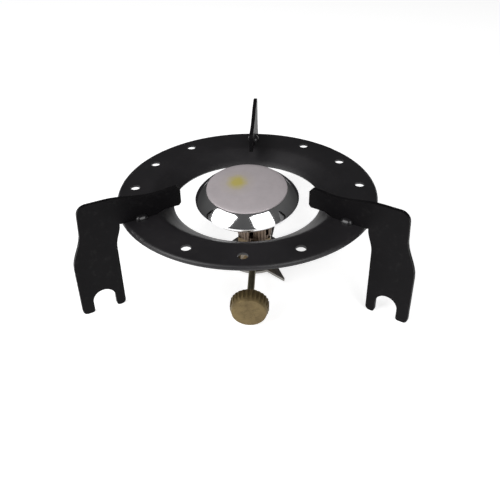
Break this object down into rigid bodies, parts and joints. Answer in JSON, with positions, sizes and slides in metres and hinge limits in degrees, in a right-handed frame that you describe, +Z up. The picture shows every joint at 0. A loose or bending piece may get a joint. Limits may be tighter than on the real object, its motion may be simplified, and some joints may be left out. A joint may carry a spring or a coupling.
{
  "type": "gas burner stand",
  "caption": "Cylinder-top gas burner: dished ring with notched plate legs that carry the pot, and a loose burner with needle valve, spindle knob and star handwheel.",
  "frame": {"origin": "on the axis of the ring, in the plane of the leg ends (the floor)", "axes": "+Z up, -Y towards the control knob, one leg at +Y"},
  "size_m": [0.1982, 0.1947, 0.0749],
  "materials": {
    "black_enamel": "satin stove enamel",
    "satin_steel": "satin",
    "chrome_trim": "polished",
    "port_brass": "machined",
    "bowl_steel": "pressed, dull",
    "tube_steel": "drawn",
    "collar_brass": "aged",
    "valve_brass": "machined",
    "knob_brass": "aged, satin",
    "nut_brass": "machined",
    "spindle_steel": "dark",
    "star_steel": "pressed",
    "seal_rubber": "matt"
  },
  "bodies": {
    "burner": {"valve_body": "valve_brass", "mixing_tube": "tube_steel", "burner_bowl": "bowl_steel", "port_ring": "port_brass", "trim_ring": "chrome_trim", "burner_disc": "satin_steel", "gas_jet": "valve_brass", "gland_nut": "valve_brass", "gland_packing": "seal_rubber", "inlet_spigot": "valve_brass", "inlet_washer": "seal_rubber", "inlet_filter": "spindle_steel"},
    "needle": {"needle": "spindle_steel"},
    "spindle": {"spindle": "spindle_steel", "knob": "knob_brass", "knob_screw": "spindle_steel"},
    "air_collar": {"air_collar": "collar_brass"},
    "coupling": {"coupling_nut": "nut_brass", "star_wheel": "star_steel"},
    "stand": {"drip_ring": "black_enamel", "leg_left": "black_enamel", "leg_right": "black_enamel", "leg_rear": "black_enamel", "leg_welds": "black_enamel"}
  },
  "joints": [
    {"name": "stand_lift", "type": "slide", "parent": "burner", "child": "stand", "axis": [0, 0, 1], "range_m": [0, 0.08]},
    {"name": "needle_travel", "type": "slide", "parent": "burner", "child": "needle", "axis": [0, -0.9938, -0.1115], "range_m": [0, 0.00125]},
    {"name": "knob_turn", "type": "hinge", "parent": "needle", "child": "spindle", "pos_m": [0.0042, -0.0376, 0.01428], "axis": [0, -0.9938, -0.1115], "range_deg": [0, 450]},
    {"name": "air_collar_turn", "type": "hinge", "parent": "burner", "child": "air_collar", "pos_m": [0.0042, 0.00098, 0.02918], "axis": [0, -0.1115, 0.9938], "range_deg": [-30, 30]},
    {"name": "coupling_turn", "type": "hinge", "parent": "burner", "child": "coupling", "pos_m": [0.0042, 0.00354, 0.00632], "axis": [0, -0.1115, 0.9938], "continuous": true}
  ],
  "couplings": [
    {"joint": "knob_turn", "follows": "needle_travel", "rad_per_m": 6283.2}
  ]
}
